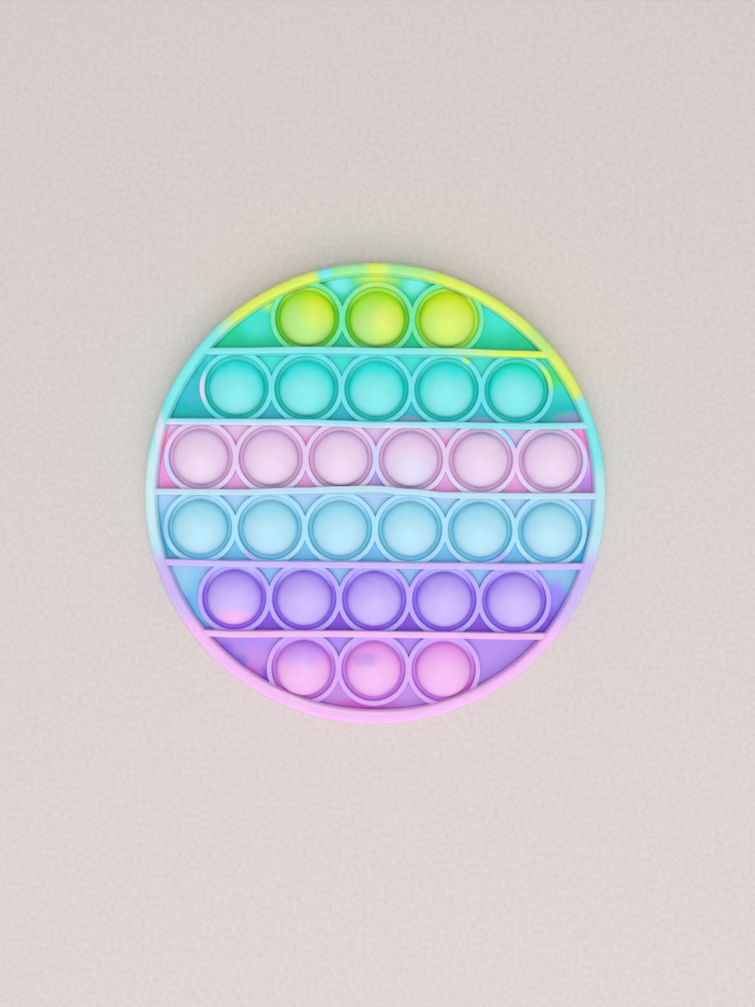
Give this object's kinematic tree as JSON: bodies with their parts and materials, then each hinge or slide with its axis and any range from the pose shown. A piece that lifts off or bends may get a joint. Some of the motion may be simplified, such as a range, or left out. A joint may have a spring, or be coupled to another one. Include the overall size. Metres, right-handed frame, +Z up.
{
  "type": "bubble pop fidget toy",
  "caption": "Round soft silicone disc with a raised rim, rows of push-through domes in raised rings, and straight bars between the rows.",
  "frame": {"origin": "on the axis of the disc, in the plane that the foot of the rim rests on", "axes": "+Z up out of the face that the domes stand on, +X along the rows and bars, +Y across the rows, towards the lime-coloured row"},
  "size_m": [0.125, 0.125, 0.0125],
  "materials": {
    "silicone": "matte, slightly translucent moulded silicone, marbled in pastel bands of lime, turquoise, pink, ice blue, lilac and rose"
  },
  "bodies": {
    "root": {"popper_disc": "silicone"}
  },
  "joints": []
}
